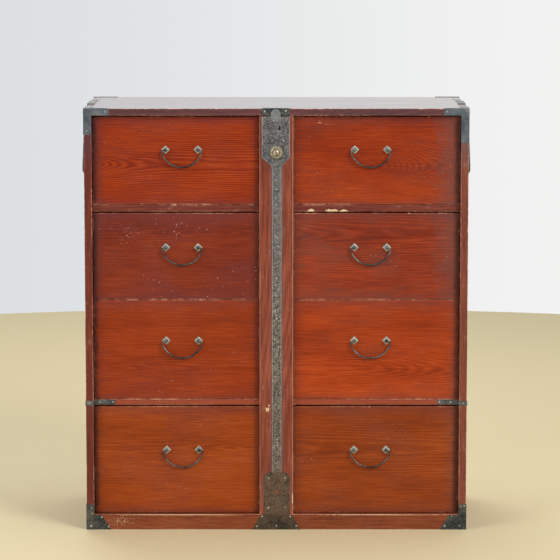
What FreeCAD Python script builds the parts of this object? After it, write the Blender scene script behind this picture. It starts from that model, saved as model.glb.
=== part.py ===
import FreeCAD
import Part
import math
import os

Vector = FreeCAD.Vector

# The chest stands on z = 0 with its front towards -Y. All lengths are millimetres.
# Case
chest_width = 1000.0
chest_depth = 455.0
chest_height = 1112.0
side_thick = 20.0
top_thick = 18.0
back_thick = 8.0
back_board_count = 5
partition_thick = 26.0
joint_fingers = 5
wood_bevel = 1.2

# Drawer fronts, rails and stile lie back from the case's front edge, and the bar fills that recess.
front_recess = 20.0
stile_width = 88.0
rail_depth = 40.0
dust_board_thick = 6.0
base_rail_height = 41.0
base_rear_rail_thick = 20.0
lower_rail_height = 15.5
upper_rail_height = 18.5
hidden_rail_height = 16.0
guide_height = 18.0
guide_clearance = 0.5

# Share of the height between the rails that each row takes. The top row takes the rest.
bottom_row_share = 0.2836
third_row_share = 0.2596
second_row_share = 0.2272

# Drawers
front_thick = 18.0
front_side_gap = 1.1
front_top_gap = 3.8
front_foot_gap = 0.8
front_meeting_gap = 1.0
front_rear_gap = 1.0
front_rabbet = 9.0
drawer_side_thick = 10.0
drawer_bottom_thick = 6.0
drawer_side_inset = 1.0
drawer_head_room = 6.0
drawer_rear_room = 9.0
runner_gap = 0.3

# Drawer bails. The posts stand above the middle of each front.
bail_rod = 5.6
bail_width = 107.5
bail_drop = 48.0
bail_tip_bend = 6.0
bail_side_bend = 27.0
bail_tip_length = 8.0
post_spacing = 84.5
post_reach = 9.5
post_stem = 4.2
post_eye = 9.4
post_eye_width = 4.6
post_clinch_length = 12.0
post_clinch_width = 5.2
post_clinch_thick = 1.6
eye_clearance = 0.15
diamond_side = 16.0
diamond_thick = 1.8
diamond_bevel = 0.9
top_post_rise = 28.0
second_post_rise = 23.4
third_post_rise = 23.5
bottom_post_rise = 26.3

# Iron on the case
case_iron = 1.2
corner_leaf = 20.0
corner_inward = 65.0
corner_end_round = 4.0
left_corner_drop = 68.0
right_corner_drop = 89.0
corner_back = 66.0
corner_top_edge = 9.0
rear_corner_drop = 60.0
lower_corner_height = 68.4
left_corner_foot = 64.0
right_corner_foot = 69.5
left_corner_shoulder = 19.0
right_corner_shoulder = 24.0
lower_corner_back = 46.0
strap_inward = 56.0
strap_back = 48.0
top_plate_width = 73.0
top_plate_shift = -1.3
top_plate_fold = 9.0
socket_plate_top = 83.6
socket_plate_foot = 125.6
socket_plate_round = 6.0

# Locking bar
bar_width = 88.0
bar_seat_gap = 0.3
bar_head_gap = 2.5
tenon_width = 24.0
tenon_height = 14.0
tenon_level = 24.0
tenon_length = 14.0
tenon_clearance = 0.4
head_plate_width = 72.4
head_plate_shift = -1.5
head_plate_height = 106.5
head_plate_taper = 24.0
head_plate_round = 2.0
bar_strap_width = 24.8
bar_strap_shift = 1.0
foot_plate_width = 66.4
foot_plate_shift = 1.3
foot_plate_height = 113.0
foot_plate_round = 15.0
foot_cut_width = 20.0
foot_cut_height = 16.0
foot_cut_level = 54.0
tongue_width = 25.0
tongue_shift = -1.4
tongue_above = 19.3
tongue_below = 13.0
tongue_head_round = 12.0
tongue_foot_round = 8.0

# Lock in the bar's head: pushing the button lifts the bolt into the top board.
boss_level = 93.0
rosette_width = 35.0
rosette_thick = 1.2
rosette_bead = 1.1
rosette_bead_width = 2.0
button_width = 17.0
button_proud = 0.6
button_edge_bevel = 2.2
button_neck = 8.0
button_travel = 4.5
button_clearance = 0.2
lift_share = 1.5
lock_case_width = 40.0
lock_case_below = 14.0
lock_case_depth = 14.5
lock_case_wall = 1.2
lock_head_wood = 8.0
bolt_width = 12.0
bolt_thick = 5.0
bolt_setback = 3.7
bolt_clearance = 0.3
bolt_foot_level = 2.0
cam_width = 9.0
cam_length = 6.4
cam_setback = 0.5
cam_clearance = 0.2
key_slit_width = 3.2
key_slit_height = 11.0
key_slit_bulb = 5.0
key_slit_shift = 8.0
key_slit_level = 35.5

# Carrying handles, one on each side board
handle_rod = 8.0
handle_width = 118.0
handle_drop = 152.0
handle_tip_bend = 8.0
handle_foot_bend = 30.0
handle_tip_length = 16.0
handle_lean_degrees = 2.5
handle_pivot_level = 34.0
handle_pivot_reach = 6.2
handle_eye = 11.6
handle_eye_width = 8.0
bracket_plate = 1.6
bracket_width = 114.0
bracket_drop = 56.0
bracket_fold = 17.0
bracket_round = 6.0

# Forged rods are eight-sided, with chords that leave their bends by no more than the sag.
rod_sides = 8
rod_sag = 0.6
full_turn_degrees = 360

# Every cut runs this far past the face that it opens, and points closer than the tolerance are one.
overrun = 1.0
tolerance = 0.00001

# Levels and planes that the pieces share
half_width = chest_width / 2
inner_x = half_width - side_thick
partition_x = partition_thick / 2
stile_x = stile_width / 2
front_y = -chest_depth / 2
rear_y = chest_depth / 2
recess_y = front_y + front_recess
back_inner_y = rear_y - back_thick
front_back_y = recess_y + front_thick
stile_back_y = front_back_y + front_rear_gap
rail_back_y = stile_back_y + rail_depth
top_underside = chest_height - top_thick
rows_height = top_underside - base_rail_height - lower_rail_height - upper_rail_height
lower_rail_z = base_rail_height + rows_height * bottom_row_share
lower_rail_top = lower_rail_z + lower_rail_height
meeting_z = lower_rail_top + rows_height * third_row_share
upper_rail_z = meeting_z + rows_height * second_row_share
upper_rail_top = upper_rail_z + upper_rail_height
hidden_rail_z = meeting_z - hidden_rail_height / 2
hidden_rail_top = meeting_z + hidden_rail_height / 2
drawer_inner_x = stile_x + front_side_gap
drawer_outer_x = inner_x - front_side_gap
handle_centre_x = (inner_x + partition_x) / 2
bar_iron = case_iron + bar_seat_gap
bar_back_y = recess_y - bar_seat_gap
bar_iron_y = front_y - bar_iron
bar_foot_z = base_rail_height + bar_seat_gap
bar_top_z = top_underside - bar_head_gap
boss_z = bar_top_z - boss_level
bolt_travel = button_travel * lift_share
bolt_back_y = bar_back_y - bolt_setback
pocket_y = bar_back_y - lock_case_depth
pocket_low_z = boss_z - lock_case_below
pocket_high_z = bar_top_z - lock_head_wood

os.makedirs("parts", exist_ok=True)


def block(x, y, z):
    """A box between two values on each axis."""
    return Part.makeBox(x[1] - x[0], y[1] - y[0], z[1] - z[0], Vector(x[0], y[0], z[0]))


def centred(middle, width):
    """The two ends of a width about its middle."""
    return (middle - width / 2, middle + width / 2)


def widened(span, clearance):
    """A range opened by a clearance at both ends."""
    return (span[0] - clearance, span[1] + clearance)


def mirrored(shape):
    """The same piece on the other side of the chest's middle plane."""
    return shape.mirror(Vector(0, 0, 0), Vector(1, 0, 0))


def both_sides(shapes):
    """Right-hand pieces followed by their left-hand twins."""
    return shapes + [mirrored(shape) for shape in shapes]


def joined(first, *others):
    """Touching or overlapping solids made one, with no seams left in flat faces."""
    return first.fuse(list(others)).removeSplitter().Solids[0]


def save(node, shapes):
    """Writes one node, which may hold several solids."""
    whole = shapes[0] if len(shapes) == 1 else Part.makeCompound(shapes)
    whole.exportStep(f"parts/{node}.step")


def rounded_path(corners, closed):
    """A wire through corners given as (point, radius), each turned with a tangent arc."""
    count = len(corners)
    stretches = []
    for index, (point, radius) in enumerate(corners):
        at_end = not closed and index in (0, count - 1)
        if at_end or radius == 0:
            stretches.append((point, None, point))
            continue
        back = (corners[index - 1][0] - point).normalize()
        ahead = (corners[(index + 1) % count][0] - point).normalize()
        half_angle = back.getAngle(ahead) / 2
        reach = radius / math.tan(half_angle)
        inward = (back + ahead).normalize()
        middle = point + inward * (radius / math.sin(half_angle) - radius)
        stretches.append((point + back * reach, middle, point + ahead * reach))
    edges = []
    for index, (start, middle, end) in enumerate(stretches):
        if middle is not None:
            edges.append(Part.Arc(start, middle, end).toShape())
        following = stretches[(index + 1) % count][0]
        last = index == count - 1 and not closed
        if not last and not following.isEqual(end, tolerance):
            edges.append(Part.LineSegment(end, following).toShape())
    return Part.Wire(edges)


def front_plate(corners, y, thick):
    """A sheet cut to an outline of (x, z, radius), standing out from the plane y towards the front."""
    points = [(Vector(x, y, z), radius) for x, z, radius in corners]
    return Part.Face(rounded_path(points, True)).extrude(Vector(0, -thick, 0))


def side_profile(corners, x_span):
    """A solid with an outline of (y, z) points, running across the chest."""
    points = [(Vector(x_span[0], y, z), 0) for y, z in corners]
    return Part.Face(rounded_path(points, True)).extrude(Vector(x_span[1] - x_span[0], 0, 0))


def level_profile(corners, z_span):
    """A solid with an outline of (x, y) points, running upwards."""
    points = [(Vector(x, y, z_span[0]), 0) for x, y in corners]
    return Part.Face(rounded_path(points, True)).extrude(Vector(0, 0, z_span[1] - z_span[0]))


def bore(x, z, diameter, y_span):
    """A round solid along Y, for pins and for the holes that they pass."""
    return Part.makeCylinder(diameter / 2, y_span[1] - y_span[0], Vector(x, y_span[0], z), Vector(0, 1, 0))


def edges_on(solid, y):
    """The edges that lie in the plane y."""
    return [edge for edge in solid.Edges if all(abs(v.Y - y) < tolerance for v in edge.Vertexes)]


def eased(solid, y):
    """The solid with the edges of its face in the plane y taken off."""
    return solid.makeChamfer(wood_bevel, edges_on(solid, y))


def even_corners(radius):
    """Corners on a circle about 0, 0 for a section or an eye, with flats along both axes."""
    angles = [math.pi * (index * 2 + 1) / rod_sides for index in range(rod_sides)]
    return [(radius * math.cos(angle), radius * math.sin(angle)) for angle in angles]


def across_flats(width):
    """Corners of an eye as wide as this between its flats."""
    return even_corners(width / 2 / math.cos(math.pi / rod_sides))


def chord_points(path):
    """Points along a wire of lines and arcs, close enough on each bend to keep within the sag."""
    points = [path.OrderedEdges[0].firstVertex(True).Point]
    for edge in path.OrderedEdges:
        bend = edge.curvatureAt(edge.FirstParameter)
        steps = 1
        if bend > tolerance:
            steps = math.ceil(edge.Length * bend / math.acos(1 - rod_sag * bend) / 2)
        points += edge.discretize(Number=steps + 1)[1:]
    return points


def forged_rod(path, square_to_path, diameter):
    """A faceted rod along a flat wire, mitred between its chords, and a check of its volume."""
    points = chord_points(path)
    chords = [(end - start).normalize() for start, end in zip(points, points[1:])]
    section = even_corners(diameter / 2)
    rings = []
    for index, point in enumerate(points):
        before = chords[max(index - 1, 0)]
        after = chords[min(index, len(chords) - 1)]
        ahead = (before + after).normalize()
        aside = ahead.cross(square_to_path) / ahead.dot(after)
        rings.append([point + aside * u + square_to_path * v for u, v in section])
    outlines = [rings[0], rings[-1]]
    for ring, following in zip(rings, rings[1:]):
        for index in range(rod_sides):
            outlines.append([ring[index - 1], ring[index], following[index], following[index - 1]])
    faces = [Part.Face(Part.makePolygon(outline + outline[:1])) for outline in outlines]
    rod = Part.Solid(Part.Shell(faces))
    length = sum(start.distanceToPoint(end) for start, end in zip(points, points[1:]))
    end_area = faces[0].Area
    print("rod volume against section times length:", round(rod.Volume / length / end_area, 4))
    return rod


# Case boards. The top is finger jointed to the sides, and its own fingers stand at the corners.
def finger_spans():
    step = chest_depth / joint_fingers
    return [(front_y + step * index, front_y + step * (index + 1)) for index in range(joint_fingers)]


def top_board():
    board = block((-half_width, half_width), (front_y, rear_y), (top_underside, chest_height))
    through = widened((top_underside, chest_height), overrun)
    notches = [block((inner_x, half_width + overrun), span, through) for span in finger_spans()[1::2]]
    mortise_height = bolt_travel - bar_head_gap + bolt_clearance
    mortise = block(
        widened(centred(0, bolt_width), bolt_clearance),
        widened((bolt_back_y - bolt_thick, bolt_back_y), bolt_clearance),
        (top_underside - overrun, top_underside + mortise_height),
    )
    return board.cut(both_sides(notches) + [mortise])


def right_side():
    board = block((inner_x, half_width), (front_y, rear_y), (0, top_underside))
    fingers = [
        block((inner_x, half_width), span, (top_underside, chest_height))
        for span in finger_spans()[1::2]
    ]
    return joined(board, *fingers)


def back_boards():
    step = top_underside / back_board_count
    return [
        block((-inner_x, inner_x), (back_inner_y, rear_y), (step * index, step * (index + 1)))
        for index in range(back_board_count)
    ]


def centre_stile():
    stile = block((-stile_x, stile_x), (recess_y, stile_back_y), (base_rail_height, top_underside))
    mortise = block(
        widened(centred(0, tenon_width), tenon_clearance),
        (recess_y - overrun, bar_back_y + tenon_length + tenon_clearance),
        widened((bar_foot_z + tenon_level, bar_foot_z + tenon_level + tenon_height), tenon_clearance),
    )
    return stile.cut(mortise)


def base_rails():
    front = block((-inner_x, inner_x), (front_y, stile_back_y), (0, base_rail_height))
    rear = block(
        (partition_x, inner_x),
        (back_inner_y - base_rear_rail_thick, back_inner_y),
        (0, base_rail_height - dust_board_thick),
    )
    return [eased(front, front_y)] + both_sides([rear])


def drawer_rails():
    rails = []
    for z, top in ((lower_rail_z, lower_rail_top), (upper_rail_z, upper_rail_top)):
        rails.append(eased(block((stile_x, inner_x), (recess_y, rail_back_y), (z, top)), recess_y))
    rails.append(
        block((partition_x, inner_x), (stile_back_y, rail_back_y), (hidden_rail_z, hidden_rail_top))
    )
    return both_sides(rails)


def boards_under_drawers():
    boards = [
        block(
            (partition_x, inner_x),
            (stile_back_y, back_inner_y),
            (base_rail_height - dust_board_thick, base_rail_height),
        )
    ]
    for top in (lower_rail_top, hidden_rail_top, upper_rail_top):
        boards.append(
            block((partition_x, inner_x), (rail_back_y, back_inner_y), (top - dust_board_thick, top))
        )
    return both_sides(boards)


def drawer_guides():
    reach = (partition_x, drawer_inner_x + drawer_side_inset - guide_clearance)
    strips = [
        block(reach, (rail_back_y, back_inner_y), (level, level + guide_height))
        for level in (base_rail_height, lower_rail_top, hidden_rail_top, upper_rail_top)
    ]
    return both_sides(strips)


save("top_board", [top_board()])
save("right_side", [right_side()])
save("left_side", [mirrored(right_side())])
save("back_boards", back_boards())
partition = block((-partition_x, partition_x), (stile_back_y, back_inner_y), (0, top_underside))
save("centre_partition", [partition])
save("centre_stile", [centre_stile()])
save("base_rails", base_rails())
save("drawer_rails", drawer_rails())
save("dust_boards", boards_under_drawers())
save("drawer_guides", drawer_guides())


# Iron on the case, each fitting folded from one sheet over the wood's edges
def top_corner_iron(drop, back):
    """A right-hand corner cap: an angle on the front, a leaf over the top and a leaf down the side."""
    front = front_plate(
        [
            (half_width + case_iron, chest_height + case_iron, 0),
            (half_width - corner_inward, chest_height + case_iron, 0),
            (half_width - corner_inward, top_underside, corner_end_round),
            (inner_x, top_underside, 0),
            (inner_x, chest_height - drop, corner_end_round),
            (half_width + case_iron, chest_height - drop, 0),
        ],
        front_y,
        case_iron,
    )
    edge_strip = block(
        (half_width - corner_inward, half_width + case_iron),
        (front_y - case_iron, front_y + corner_top_edge),
        (chest_height, chest_height + case_iron),
    )
    top_leaf = block(
        (half_width - corner_leaf, half_width + case_iron),
        (front_y - case_iron, front_y + back),
        (chest_height, chest_height + case_iron),
    )
    side_leaf = block(
        (half_width, half_width + case_iron),
        (front_y - case_iron, front_y + back),
        (chest_height - corner_leaf, chest_height + case_iron),
    )
    side_edge = block(
        (half_width, half_width + case_iron),
        (front_y - case_iron, front_y + corner_leaf),
        (chest_height - drop, chest_height + case_iron),
    )
    return joined(front, edge_strip, top_leaf, side_leaf, side_edge)


def lower_corner_iron(shoulder, foot):
    """A right-hand foot plate over the base rail, the side board's edge and its outer face."""
    front = front_plate(
        [
            (half_width + case_iron, 0, 0),
            (half_width - foot, 0, 0),
            (inner_x - shoulder, base_rail_height - wood_bevel, 0),
            (inner_x, base_rail_height - wood_bevel, 0),
            (inner_x, lower_corner_height, corner_end_round),
            (half_width + case_iron, lower_corner_height, 0),
        ],
        front_y,
        case_iron,
    )
    side_leaf = block(
        (half_width, half_width + case_iron),
        (front_y - case_iron, front_y + lower_corner_back),
        (0, lower_corner_height),
    )
    return joined(front, side_leaf)


def rail_strap():
    """A right-hand strap that runs off the lower rail, out along the side board and round its edge."""
    wood = [
        (inner_x - strap_inward, recess_y),
        (inner_x, recess_y),
        (inner_x, front_y),
        (half_width, front_y),
        (half_width, front_y + strap_back),
    ]
    outer = [
        (half_width + case_iron, front_y + strap_back),
        (half_width + case_iron, front_y - case_iron),
        (inner_x - case_iron, front_y - case_iron),
        (inner_x - case_iron, recess_y - case_iron),
        (inner_x - strap_inward, recess_y - case_iron),
    ]
    return level_profile(wood + outer, widened((lower_rail_z, lower_rail_top), -wood_bevel))


def top_centre_plate():
    across = centred(top_plate_shift, top_plate_width)
    face = block(across, (front_y - case_iron, front_y), (top_underside, chest_height + case_iron))
    fold = block(
        across,
        (front_y - case_iron, front_y + top_plate_fold),
        (chest_height, chest_height + case_iron),
    )
    return joined(face, fold)


def foot_socket_plate():
    head = centred(0, socket_plate_top)
    foot = centred(0, socket_plate_foot)
    return front_plate(
        [
            (foot[0], 0, 0),
            (head[0], base_rail_height - wood_bevel, socket_plate_round),
            (head[1], base_rail_height - wood_bevel, socket_plate_round),
            (foot[1], 0, 0),
        ],
        front_y,
        case_iron,
    )


def to_rear(shape):
    return shape.mirror(Vector(0, 0, 0), Vector(0, 1, 0))


rear_corner = to_rear(top_corner_iron(rear_corner_drop, corner_leaf))
save(
    "top_corner_irons",
    [
        top_corner_iron(right_corner_drop, corner_back),
        mirrored(top_corner_iron(left_corner_drop, corner_back)),
    ]
    + both_sides([rear_corner]),
)
save(
    "lower_corner_irons",
    [
        lower_corner_iron(right_corner_shoulder, right_corner_foot),
        mirrored(lower_corner_iron(left_corner_shoulder, left_corner_foot)),
    ],
)
save("rail_straps", both_sides([rail_strap()]))
save("top_centre_plate", [top_centre_plate()])
save("foot_socket_plate", [foot_socket_plate()])


# Carrying handles. Each hangs from two eyes on a bracket that folds over the top board's edge.
handle_x = half_width + handle_pivot_reach
handle_z = chest_height - handle_pivot_level
handle_half = (handle_width - handle_rod) / 2
handle_eye_y = handle_half - handle_tip_bend - handle_tip_length / 2


def handle_bracket():
    left, right = centred(0, bracket_width)
    low = chest_height - bracket_drop
    high = chest_height + bracket_plate
    corners = [
        (Vector(half_width, left, high), 0),
        (Vector(half_width, left, low), bracket_round),
        (Vector(half_width, right, low), bracket_round),
        (Vector(half_width, right, high), 0),
    ]
    plate = Part.Face(rounded_path(corners, True)).extrude(Vector(bracket_plate, 0, 0))
    fold = block(
        (half_width - bracket_fold, half_width + bracket_plate),
        centred(0, bracket_width),
        (chest_height, chest_height + bracket_plate),
    )
    outer = [(handle_x + x, handle_z + z) for x, z in across_flats(handle_eye) if x > 0]
    low, high = centred(handle_z, handle_eye)
    profile = [(half_width, low)] + sorted(outer, key=lambda corner: corner[1]) + [(half_width, high)]
    eyes = [
        front_plate([(x, z, 0) for x, z in profile], middle + handle_eye_width / 2, handle_eye_width)
        for middle in (-handle_eye_y, handle_eye_y)
    ]
    bracket = joined(plate, fold, *eyes)
    across = widened((left, right), overrun)
    pin_hole = bore(handle_x, handle_z, handle_rod + eye_clearance * 2, across)
    return bracket.cut(pin_hole).removeSplitter().Solids[0]


def carrying_handle():
    lean = math.radians(handle_lean_degrees)

    def place(across, up):
        return Vector(handle_x - up * math.sin(lean), across, handle_z + up * math.cos(lean))

    drop = handle_drop - handle_rod / 2
    tip = handle_half - handle_tip_bend - handle_tip_length
    corners = [
        (place(-tip, 0), 0),
        (place(-handle_half, 0), handle_tip_bend),
        (place(-handle_half, -drop), handle_foot_bend),
        (place(handle_half, -drop), handle_foot_bend),
        (place(handle_half, 0), handle_tip_bend),
        (place(tip, 0), 0),
    ]
    across_plane = Vector(math.cos(lean), 0, math.sin(lean))
    return forged_rod(rounded_path(corners, False), across_plane, handle_rod)


save("handle_brackets", both_sides([handle_bracket()]))
save("right_carrying_handle", [carrying_handle()])
save("left_carrying_handle", [mirrored(carrying_handle())])


# Drawers. Each front's ends are rabbeted for the sides, and its bail hangs from two eye posts.
bail_half = (bail_width - bail_rod) / 2
bail_y = recess_y - post_reach


def drawer_front(low, high, post_z):
    front = block((drawer_inner_x, drawer_outer_x), (recess_y, front_back_y), (low, high))
    front = eased(front, recess_y)
    lap = drawer_side_inset + drawer_side_thick
    rabbet = (front_back_y - front_rabbet, front_back_y + overrun)
    through = widened((low, high), overrun)
    cuts = [
        block((drawer_inner_x - overrun, drawer_inner_x + lap), rabbet, through),
        block((drawer_outer_x - lap, drawer_outer_x + overrun), rabbet, through),
    ]
    for x in centred(handle_centre_x, post_spacing):
        through = widened((recess_y, front_back_y), overrun)
        cuts.append(block(centred(x, post_stem), through, centred(post_z, post_stem)))
    return front.cut(cuts)


def drawer_box(floor, head):
    low = floor + runner_gap
    high = head - drawer_head_room
    rear = back_inner_y - drawer_rear_room
    inner = drawer_inner_x + drawer_side_inset
    outer = drawer_outer_x - drawer_side_inset
    between = (inner + drawer_side_thick, outer - drawer_side_thick)
    along = (front_back_y - front_rabbet, rear)
    return [
        block((inner, between[0]), along, (low, high)),
        block((between[1], outer), along, (low, high)),
        block(between, (front_back_y, rear), (low, low + drawer_bottom_thick)),
        block(between, (rear - drawer_side_thick, rear), (low + drawer_bottom_thick, high)),
    ]


def eye_post(x, z):
    """A diamond plate, and a post through it with an eye for the bail and its end clinched inside."""
    half_diagonal = diamond_side / math.sqrt(2)
    diamond = front_plate(
        [
            (x - half_diagonal, z, 0),
            (x, z + half_diagonal, 0),
            (x + half_diagonal, z, 0),
            (x, z - half_diagonal, 0),
        ],
        recess_y,
        diamond_thick,
    )
    diamond = diamond.makeChamfer(diamond_bevel, edges_on(diamond, recess_y - diamond_thick))
    stem = block(
        centred(x, post_stem),
        (bail_y, front_back_y + post_clinch_thick),
        centred(z, post_stem),
    )
    clinch = block(
        centred(x, post_clinch_length),
        (front_back_y, front_back_y + post_clinch_thick),
        centred(z, post_clinch_width),
    )
    eye_x = centred(x, post_eye_width)
    eye = side_profile([(bail_y + y, z + up) for y, up in across_flats(post_eye)], eye_x)
    eye_hole = Part.makeCylinder(
        bail_rod / 2 + eye_clearance,
        post_eye_width,
        Vector(eye_x[0], bail_y, z),
        Vector(1, 0, 0),
    )
    post = joined(stem, clinch, eye).cut(eye_hole)
    return [diamond.cut(stem), post.Solids[0]]


def bail(centre_x, post_z):
    """A fern-shoot bail: tips turned in through the eyes, close bends at the sides, one wide arc below."""
    drop = bail_drop - bail_rod / 2
    across = bail_half - bail_side_bend
    down = drop - bail_tip_bend
    foot_bend = (across ** 2 + down ** 2 - bail_side_bend ** 2) / (2 * (down - bail_side_bend))
    turn = math.atan2(down - foot_bend, across)

    def point(x, z):
        return Vector(centre_x + x, bail_y, post_z + z)

    def arc(centre, radius, start, end):
        angles = (start, (start + end) / 2, end)
        places = [
            point(centre[0] + radius * math.cos(angle), centre[1] + radius * math.sin(angle))
            for angle in angles
        ]
        return Part.Arc(*places).toShape()

    tip_start = bail_half - bail_tip_bend
    quarter = math.pi / 2
    edges = [
        Part.LineSegment(point(tip_start - bail_tip_length, 0), point(tip_start, 0)).toShape(),
        arc((tip_start, -bail_tip_bend), bail_tip_bend, quarter, 0),
        arc((across, -bail_tip_bend), bail_side_bend, 0, turn),
        arc((0, foot_bend - drop), foot_bend, turn, -math.pi - turn),
        arc((-across, -bail_tip_bend), bail_side_bend, -math.pi - turn, -math.pi),
        arc((-tip_start, -bail_tip_bend), bail_tip_bend, math.pi, quarter),
        Part.LineSegment(point(-tip_start, 0), point(bail_tip_length - tip_start, 0)).toShape(),
    ]
    return forged_rod(Part.Wire(edges), Vector(0, 1, 0), bail_rod)


# Row name, floor and head of its space, foot and head of its front, rise of its posts
rows = (
    (
        "top",
        (upper_rail_top, top_underside),
        (upper_rail_top + front_foot_gap, top_underside - front_top_gap),
        top_post_rise,
    ),
    (
        "second",
        (hidden_rail_top, upper_rail_z),
        (meeting_z + front_meeting_gap / 2, upper_rail_z - front_top_gap),
        second_post_rise,
    ),
    (
        "third",
        (lower_rail_top, hidden_rail_z),
        (lower_rail_top + front_foot_gap, meeting_z - front_meeting_gap / 2),
        third_post_rise,
    ),
    (
        "bottom",
        (base_rail_height, lower_rail_z),
        (base_rail_height + front_foot_gap, lower_rail_z - front_top_gap),
        bottom_post_rise,
    ),
)

for row, space, face, rise in rows:
    post_z = sum(face) / 2 + rise
    front = drawer_front(*face, post_z)
    box = drawer_box(*space)
    save(f"{row}_right_front", [front])
    save(f"{row}_left_front", [mirrored(front)])
    save(f"{row}_right_box", box)
    save(f"{row}_left_box", [mirrored(board) for board in box])
    for side, centre_x in (("right", handle_centre_x), ("left", -handle_centre_x)):
        places = centred(centre_x, post_spacing)
        save(f"{row}_{side}_posts", [solid for x in places for solid in eye_post(x, post_z)])
        save(f"{row}_{side}_bail", [bail(centre_x, post_z)])


# Locking bar. Its tenon enters the stile, its iron tongue laps the top board's edge.
button_bore = button_width + button_clearance * 2
rosette_height = rosette_thick + rosette_bead
button_height = rosette_height + button_travel + button_proud
neck_bore = button_neck + button_clearance * 2
bolt_x = centred(0, bolt_width)
bolt_y = (bolt_back_y - bolt_thick, bolt_back_y)


def key_slit(y_span):
    """A key slit with a round foot."""
    low = bar_top_z - key_slit_level
    bulb = bore(key_slit_shift, low + key_slit_bulb / 2, key_slit_bulb, y_span)
    slit = block(
        centred(key_slit_shift, key_slit_width),
        y_span,
        (low + key_slit_bulb / 2, low + key_slit_height),
    )
    return bulb.fuse(slit)


def bar_board():
    board = block(centred(0, bar_width), (front_y, bar_back_y), (bar_foot_z, bar_top_z))
    board = eased(board, front_y)
    tenon = block(
        centred(0, tenon_width),
        (bar_back_y, bar_back_y + tenon_length),
        (bar_foot_z + tenon_level, bar_foot_z + tenon_level + tenon_height),
    )
    pocket = block(
        centred(0, lock_case_width),
        (pocket_y, bar_back_y + overrun),
        (pocket_low_z, pocket_high_z),
    )
    bolt_way = block(
        widened(bolt_x, bolt_clearance),
        widened(bolt_y, bolt_clearance),
        (pocket_high_z - overrun, bar_top_z + overrun),
    )
    to_pocket = (front_y - overrun, pocket_y + overrun)
    button_well = (front_y - overrun, bar_iron_y + button_travel + button_clearance)
    return joined(board, tenon).cut(
        [
            pocket,
            bolt_way,
            key_slit(to_pocket),
            bore(0, boss_z, neck_bore, to_pocket),
            bore(0, boss_z, button_bore, button_well),
        ]
    )


def head_plate():
    left, right = centred(head_plate_shift, head_plate_width)
    strap_left, strap_right = centred(bar_strap_shift, bar_strap_width)
    shoulder = bar_top_z - head_plate_height
    plate = front_plate(
        [
            (left, bar_top_z, head_plate_round),
            (right, bar_top_z, head_plate_round),
            (right, shoulder, 0),
            (strap_right, shoulder - head_plate_taper, 0),
            (strap_left, shoulder - head_plate_taper, 0),
            (left, shoulder, 0),
        ],
        front_y,
        bar_iron,
    )
    through = widened((bar_iron_y, front_y), overrun)
    return plate.cut([key_slit(through), bore(0, boss_z, button_bore, through)])


def bar_strap():
    return block(
        centred(bar_strap_shift, bar_strap_width),
        (bar_iron_y, front_y),
        (bar_foot_z + foot_plate_height, bar_top_z - head_plate_height - head_plate_taper),
    )


def foot_plate():
    left, right = centred(foot_plate_shift, foot_plate_width)
    high = bar_foot_z + foot_plate_height
    plate = front_plate(
        [
            (left, bar_foot_z, 0),
            (left, high, foot_plate_round),
            (right, high, foot_plate_round),
            (right, bar_foot_z, 0),
        ],
        front_y,
        bar_iron,
    )
    cut_foot = bar_foot_z + foot_cut_level
    cut_left, cut_right = centred(foot_plate_shift, foot_cut_width)
    triangle = front_plate(
        [
            (cut_left, cut_foot, 0),
            (foot_plate_shift, cut_foot + foot_cut_height, 0),
            (cut_right, cut_foot, 0),
        ],
        front_y + overrun,
        bar_iron + overrun * 2,
    )
    return plate.cut(triangle)


def bar_tongue():
    left, right = centred(tongue_shift, tongue_width)
    return front_plate(
        [
            (left, bar_top_z - tongue_below, tongue_foot_round),
            (left, bar_top_z + tongue_above, tongue_head_round),
            (right, bar_top_z + tongue_above, tongue_head_round),
            (right, bar_top_z - tongue_below, tongue_foot_round),
        ],
        bar_iron_y,
        bar_iron,
    )


def rosette():
    """A turned brass ring with a raised rim."""
    rim = rosette_width / 2
    throat = button_bore / 2
    high_y = bar_iron_y - rosette_height
    face_y = bar_iron_y - rosette_thick
    outline = [
        (throat, bar_iron_y),
        (rim, bar_iron_y),
        (rim, face_y),
        (rim - rosette_bead_width / 2, high_y),
        (rim - rosette_bead_width, face_y),
        (throat, face_y),
    ]
    points = [(Vector(radius, y, boss_z), 0) for radius, y in outline]
    half_section = Part.Face(rounded_path(points, True))
    return half_section.revolve(Vector(0, 0, boss_z), Vector(0, 1, 0), full_turn_degrees)


def lock_case():
    x = centred(0, lock_case_width)
    y = (pocket_y, bar_back_y)
    z = (pocket_low_z, pocket_high_z)
    hollow = block(*(widened(span, -lock_case_wall) for span in (x, y, z)))
    way_up = block(
        widened(bolt_x, bolt_clearance),
        widened(bolt_y, bolt_clearance),
        widened((pocket_high_z - lock_case_wall, pocket_high_z), overrun / 2),
    )
    through_front = widened((pocket_y, pocket_y + lock_case_wall), overrun / 2)
    return block(x, y, z).cut(
        [hollow, way_up, key_slit(through_front), bore(0, boss_z, neck_bore, through_front)]
    )


def lift_line(y):
    """Height of the sloped faces where the button's cam meets the bolt's foot."""
    return boss_z + bolt_foot_level + lift_share * (bolt_back_y - y)


def lock_bolt():
    front, back = bolt_y
    return side_profile(
        [(front, lift_line(front)), (back, lift_line(back)), (back, bar_top_z), (front, bar_top_z)],
        bolt_x,
    )


def lock_button():
    """A round push button whose neck carries a sloped cam inside the lock case."""
    head = bore(0, boss_z, button_width, (bar_iron_y - button_height, bar_iron_y))
    head = head.makeChamfer(button_edge_bevel, edges_on(head, bar_iron_y - button_height))
    cam_front = pocket_y + lock_case_wall + cam_setback
    cam_back = cam_front + cam_length
    neck = bore(0, boss_z, button_neck, (bar_iron_y, cam_back))
    cam = side_profile(
        [
            (cam_front, boss_z),
            (cam_back, boss_z),
            (cam_back, lift_line(cam_back) - cam_clearance),
            (cam_front, lift_line(cam_front) - cam_clearance),
        ],
        centred(0, cam_width),
    )
    return joined(head, neck, cam)


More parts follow.
